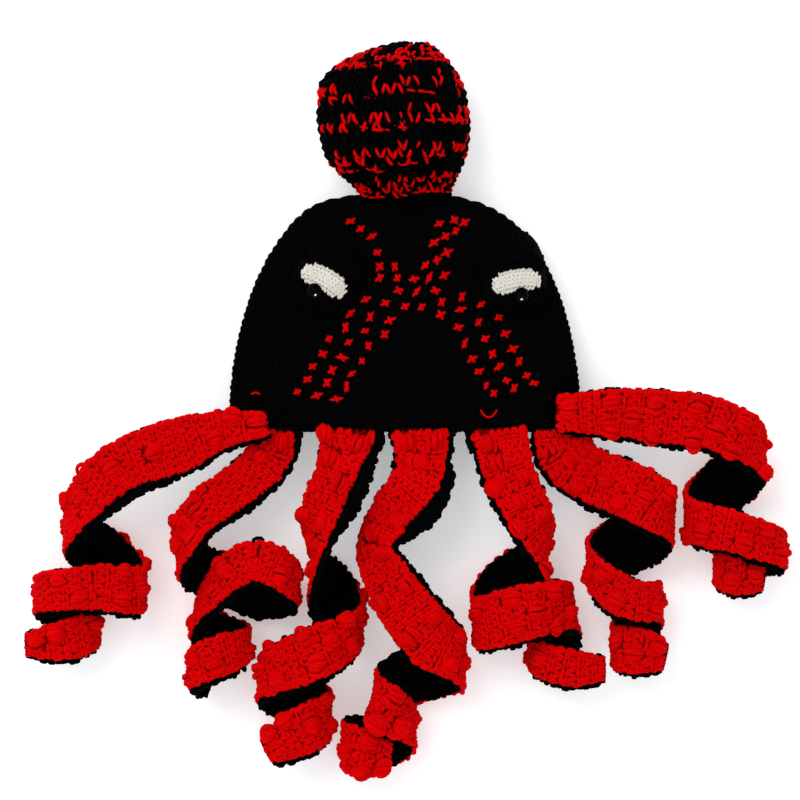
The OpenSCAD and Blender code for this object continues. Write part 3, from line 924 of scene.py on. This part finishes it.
def eyes(side_name):
    eye = EYES[side_name]
    outer = eye[2]
    dome = eye_dome(f"eye_mound_{side_name}_fabric", eye, MOUND_RX, -MOUND_RY, eye[3], 0.3, BLACK_BACK)
    knit = Knit()
    rows = []
    for v in np.arange(-MOUND_RY + 4, eye[3] - 2, 5.0):
        reach = eye[3] if v > 0 else MOUND_RY
        if not -9 < v < 9:
            rows.append((v, MOUND_RX * math.sqrt(max(0.05, 1 - (v / reach) ** 2)), 0.6))
    rows_of_stitches(knit, eye, rows, MOUND_PITCH, EYE_YARN_R)
    mound = knit.piece(f"eye_mound_{side_name}_stitches", [BLACK])

    pad = eye_dome(f"eye_white_{side_name}_fabric", eye, WHITE_HALF_L, -WHITE_HALF_W, WHITE_HALF_W,
                   WHITE_LIFT, WHITE_BACK, WHITE_SAG)
    knit = Knit()
    rows = [pad_row(v, abs(v) / WHITE_HALF_W, WHITE_HALF_L, WHITE_LIFT) for v in WHITE_ROWS]
    rows_of_stitches(knit, eye, rows, WHITE_PITCH, WHITE_YARN_R, WHITE_SAG)
    white = knit.piece(f"eye_white_{side_name}_stitches", [WHITE])

    lids = {}
    for lid, (low, high, reach, lift, sag, step) in LIDS.items():
        moved = ((eye[0][0] + outer * step, eye[0][1]), *eye[1:])
        lid_pad = eye_dome(f"eyelid_{lid}_{side_name}_fabric", moved, reach, low, high, lift, BLACK_BACK, sag)
        knit = Knit()
        mid, half = (low + high) / 2, (high - low) / 2
        rows = [pad_row(v, min(0.95, abs(v - mid) / half), reach, lift)
                for v in np.arange(low + 2, high - 1, 4.6)]
        rows_of_stitches(knit, moved, rows, LID_PITCH, EYE_YARN_R, sag)
        lids[lid] = (lid_pad, knit.piece(f"eyelid_{lid}_{side_name}_stitches", [BLACK]))

    bead = pupil(side_name, eye, outer)
    plan = [(dome, "black_yarn", f"eye_mound_{side_name}"), (mound, "black_yarn", None),
            (pad, "white_yarn", f"eye_white_{side_name}"), (white, "white_yarn", None),
            (bead, "safety_eye", f"pupil_{side_name}")]
    for lid, (lid_pad, lid_yarn) in lids.items():
        plan += [(lid_pad, "black_yarn", f"eyelid_{lid}_{side_name}"), (lid_yarn, "black_yarn", None)]
    for piece, slot, node in plan:
        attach(piece, "hat")
        if node:
            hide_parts(node)


# The pupil's profile, from the top of its dome over the rim to its flat back: radius and height
PUPIL_PROFILE = [(0.05, 5.0), (1.8, 4.8), (3.4, 4.1), (4.8, 2.9), (5.6, 1.4),
                 (5.9, 0.4), (6.3, 0.1), (6.4, -0.5), (6.0, -1.2), (0.05, -1.2)]
PUPIL_SIDES = 40
# How far it sits towards the outer corner, below the white band's lower edge, and over the mound
PUPIL_OUT, PUPIL_BELOW, PUPIL_LIFT = 2.5, 4.2, 5.0


def pupil(side_name, eye, outer):
    """A glossy dome with a thin rim."""
    a = 2 * math.pi * np.arange(PUPIL_SIDES) / PUPIL_SIDES
    u0, v0 = outer * PUPIL_OUT, -WHITE_HALF_W - PUPIL_BELOW
    spot = eye_point(eye, np.array(u0), np.array(v0), np.array(PUPIL_LIFT))
    up = eye_ups(eye, np.array([u0]), np.array([v0]))[0]
    side = unit(np.cross(up, [0.0, 1.0, 0.0]))
    other = np.cross(up, side)
    circle = np.cos(a)[:, None] * side + np.sin(a)[:, None] * other
    rings = [spot + r * circle + h * up for r, h in PUPIL_PROFILE]
    return closed_skin(f"pupil_{side_name}_bead", np.array(rings), BEAD)


# ---- Floor, light and camera ----

FLOOR_SIZE = 8
FLOOR_GLOW = 0.3
WORLD_STRENGTH = 0.95
# Each lamp: its place and size in metres and its power in watts
KEY_LAMP = ((-1.3, 1.5, 2.4), 2.2, 34)
PUPIL_LAMP = ((0.35, -1.7, 1.0), 1.1, 1500)


def stage():
    bpy.ops.mesh.primitive_plane_add(size=FLOOR_SIZE)
    floor = bpy.context.object
    floor.name = "floor"
    material = bpy.data.materials.new("floor_paper")
    material.use_nodes = True
    nodes, links = material.node_tree.nodes, material.node_tree.links
    shader = nodes["Principled BSDF"]
    shader.inputs["Roughness"].default_value = 0.9
    shader.inputs["Specular IOR Level"].default_value = 0.1
    links.new(mix_colour(nodes, links, noise(nodes, links, 3), (0.9, 0.905, 0.915), (0.93, 0.93, 0.93)),
              shader.inputs["Base Color"])
    # The paper gives off a little light of its own, so that the shadows stay pale
    shader.inputs["Emission Color"].default_value = (1, 1, 1, 1)
    shader.inputs["Emission Strength"].default_value = FLOOR_GLOW
    floor.data.materials.append(material)
    floor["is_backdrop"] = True

    world = bpy.data.worlds.new("studio")
    bpy.context.scene.world = world
    world.use_nodes = True
    world.node_tree.nodes["Background"].inputs["Color"].default_value = (0.97, 0.985, 1, 1)
    world.node_tree.nodes["Background"].inputs["Strength"].default_value = WORLD_STRENGTH
    area_light("key", *KEY_LAMP)
    # This one lights nothing but the two pupils, which makes their small highlights
    window = area_light("window", *PUPIL_LAMP)
    beads = bpy.data.collections.new("beads")
    for side_name in EYES:
        beads.objects.link(bpy.data.objects[f"pupil_{side_name}_bead"])
    window.light_linking.receiver_collection = beads


def area_light(name, place, size, power):
    light = bpy.data.lights.new(name, "AREA")
    light.shape = "DISK"
    light.size = size
    light.energy = power
    lamp = bpy.data.objects.new(name, light)
    lamp.location = place
    lamp.rotation_euler = (-lamp.location).to_track_quat("-Z", "Y").to_euler()
    bpy.context.scene.collection.objects.link(lamp)
    return lamp


# The camera looks straight down: width and middle of what it sees, and its distance
VIEW_WIDTH = 632
VIEW_MIDDLE = (-5.2, 7.3)
CAMERA_AWAY = 3000
FOCUS_HEIGHT = 40


def camera():
    data = bpy.data.cameras.new("camera")
    data.sensor_width = 36
    data.lens = data.sensor_width * CAMERA_AWAY / VIEW_WIDTH
    data.clip_end = 20
    eye_spot = bpy.data.objects.new("camera", data)
    eye_spot.location = (VIEW_MIDDLE[0] * MM, VIEW_MIDDLE[1] * MM, (CAMERA_AWAY + FOCUS_HEIGHT) * MM)
    bpy.context.scene.collection.objects.link(eye_spot)
    bpy.context.scene.camera = eye_spot


camera()
hat()
all_freckles()
for side_name in EYES:
    eyes(side_name)
head()
for number in ROUTES:
    tentacle(number)
stage()

view = bpy.context.scene.view_settings
view.view_transform = "Standard"
view.look = "None"

faces = sum(len(o.data.polygons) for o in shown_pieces() if o.type == "MESH")
print("faces in all:", faces)
